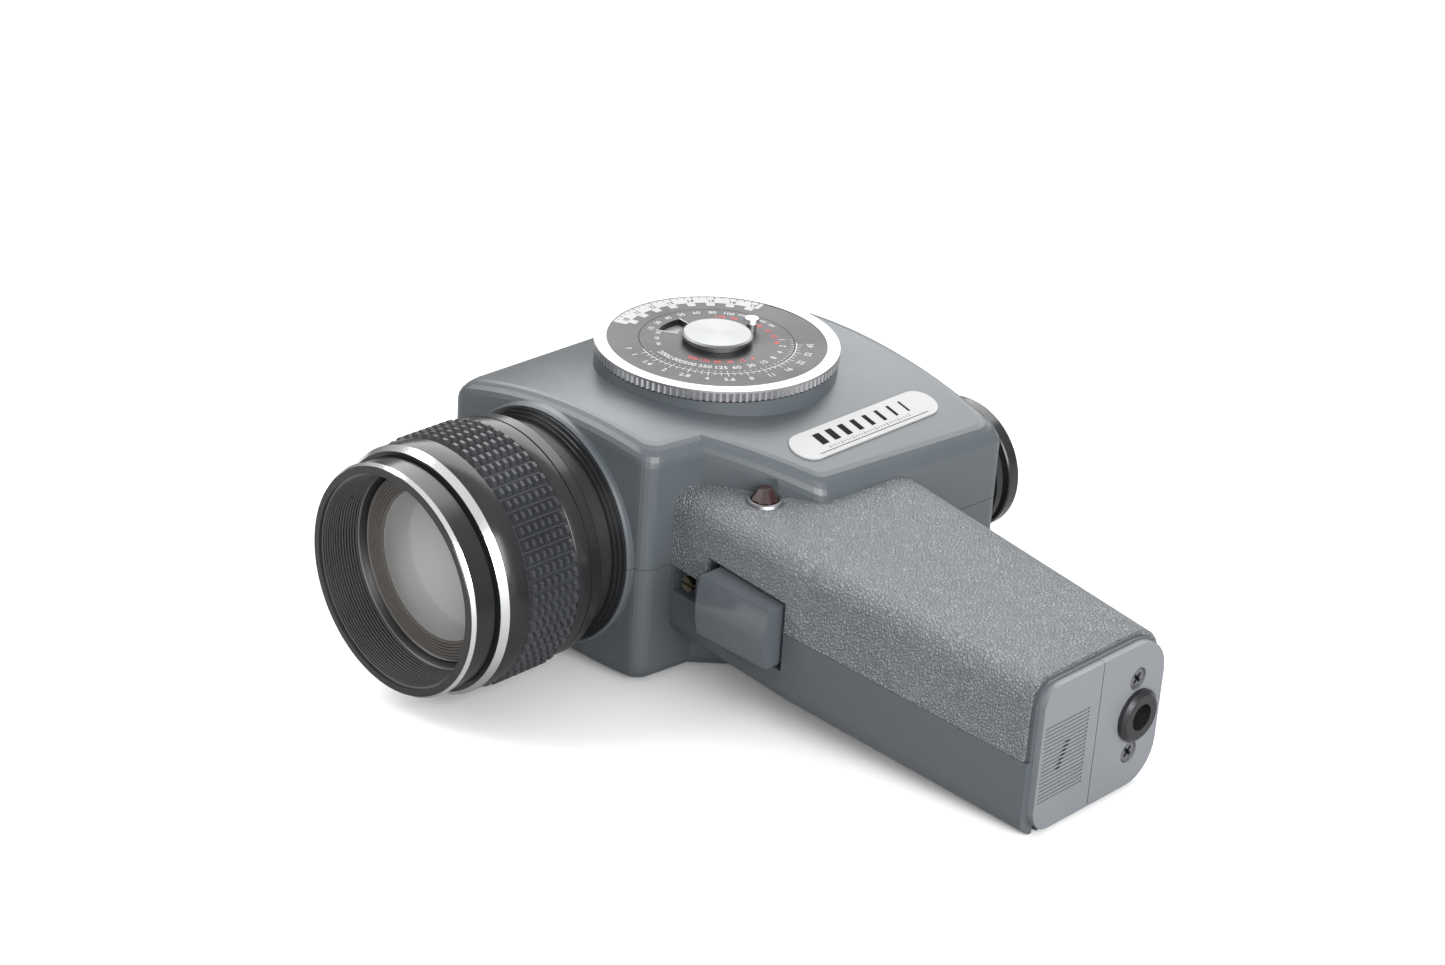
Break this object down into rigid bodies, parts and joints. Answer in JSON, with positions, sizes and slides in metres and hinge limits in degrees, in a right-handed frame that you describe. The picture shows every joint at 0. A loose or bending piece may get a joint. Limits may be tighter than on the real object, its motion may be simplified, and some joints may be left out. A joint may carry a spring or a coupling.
{
  "type": "pistol-grip spot light meter",
  "caption": "Hand-held photographic spot light meter with a lens barrel, exposure dial, rear eyepiece, finger trigger and a side grip that holds the battery.",
  "frame": {"origin": "centre of the filter thread's mouth, in the plane of the lens's front rim", "axes": "-Y is the way the lens looks, along its optical axis; +X points along the grip to its end plate; +Z points out of the exposure dial"},
  "size_m": [0.186, 0.1485, 0.0723],
  "materials": {
    "shell": "matt, blue-grey",
    "cover": "leather-grained, satin",
    "steel": "satin",
    "bright_metal": "satin",
    "label": "white enamel",
    "black_metal": "satin black",
    "dial_black": "matt black, printed",
    "rubber": "studded",
    "glass": "coated, clear",
    "mirror": "front-silvered",
    "black_plastic": "matt",
    "cell_can": "satin",
    "brass": "satin",
    "jewel": "faceted, gloss",
    "battery_can": "satin",
    "board": "matt"
  },
  "bodies": {
    "housing": {"upper_shell": "shell", "lower_shell": "shell", "grip_cover": "cover", "shell_screws": "steel", "label_plate": "label", "lens_tube": "black_metal", "mount_ring": "black_metal", "rear_glass": "glass", "dial_base": "shell", "hub_cap": "bright_metal", "hub_screw": "steel", "optics_chassis": "bright_metal", "beam_splitter": "glass", "fold_mirror": "mirror", "mirror_clips": "black_metal", "relay_lens": "glass", "relay_holder": "black_plastic", "photocell": "cell_can", "reticle": "glass", "meter_case": "black_plastic", "meter_magnet": "steel", "eye_tube": "black_metal", "field_glass": "glass", "trigger_guide": "black_plastic", "switch_body": "black_plastic", "switch_leaf": "brass", "jewel": "jewel", "jewel_bezel": "bright_metal", "lamp_bulb": "glass", "lamp_socket": "brass", "tripod_plate": "shell", "plate_screws": "steel", "tripod_bush": "black_metal", "battery_box": "black_plastic", "battery": "battery_can", "battery_snap": "black_plastic", "circuit_board": "board", "board_chips": "black_plastic"},
    "focus_ring": {"focus_ring": "black_metal", "focus_rubber": "rubber"},
    "front_barrel": {"front_barrel": "black_metal", "front_retainer": "black_metal", "front_glass": "glass", "stop_pin": "steel"},
    "dial_ring": {"dial_ring": "bright_metal", "fstop_scale": "dial_black", "speed_print": "label"},
    "time_disc": {"time_disc": "dial_black", "pin_knob": "bright_metal"},
    "eye_ring": {"eye_ring": "black_metal"},
    "eye_glass": {"eye_glass": "glass"},
    "trigger": {"trigger": "shell"},
    "zero_screw": {"zero_screw": "brass"},
    "meter_needle": {"meter_needle": "black_metal"},
    "battery_door": {"battery_door": "shell"}
  },
  "joints": [
    {"name": "focus_turn", "type": "hinge", "parent": "housing", "child": "focus_ring", "pos_m": [0, 0.023, 0], "axis": [0, 1, 0], "range_deg": [0, 120]},
    {"name": "focus_slide", "type": "slide", "parent": "housing", "child": "front_barrel", "axis": [0, -1, 0], "range_m": [0, 0.005]},
    {"name": "fstop_ring_turn", "type": "hinge", "parent": "housing", "child": "dial_ring", "pos_m": [0.00675, 0.097, 0.036], "axis": [0, 0, 1], "continuous": true},
    {"name": "time_disc_turn", "type": "hinge", "parent": "housing", "child": "time_disc", "pos_m": [0.00675, 0.097, 0.037], "axis": [0, 0, 1], "continuous": true},
    {"name": "eyepiece_turn", "type": "hinge", "parent": "housing", "child": "eye_ring", "pos_m": [0.047, 0.145, 0.0045], "axis": [0, 1, 0], "range_deg": [-90, 90]},
    {"name": "eyepiece_slide", "type": "slide", "parent": "housing", "child": "eye_glass", "axis": [0, 1, 0], "range_m": [-0.0008, 0.0008]},
    {"name": "trigger_press", "type": "slide", "parent": "housing", "child": "trigger", "axis": [0, 1, 0], "range_m": [0, 0.003], "stiffness_N_per_m": 900, "springref_m": -0.001},
    {"name": "zero_turn", "type": "hinge", "parent": "housing", "child": "zero_screw", "pos_m": [0.0395, 0.0602, -0.0032], "axis": [0, 1, 0], "range_deg": [-45, 45]},
    {"name": "needle_swing", "type": "hinge", "parent": "housing", "child": "meter_needle", "pos_m": [0.024, 0.1206, 0.001], "axis": [0, 1, 0], "range_deg": [-30, 0], "stiffness_Nm_per_rad": 0.001},
    {"name": "battery_door_slide", "type": "slide", "parent": "housing", "child": "battery_door", "axis": [0, 0, -1], "range_m": [0, 0.034]}
  ],
  "couplings": [
    {"joint": "focus_slide", "follows": "focus_turn", "m_per_rad": 0.002385},
    {"joint": "eyepiece_slide", "follows": "eyepiece_turn", "m_per_rad": 0.0005088}
  ]
}
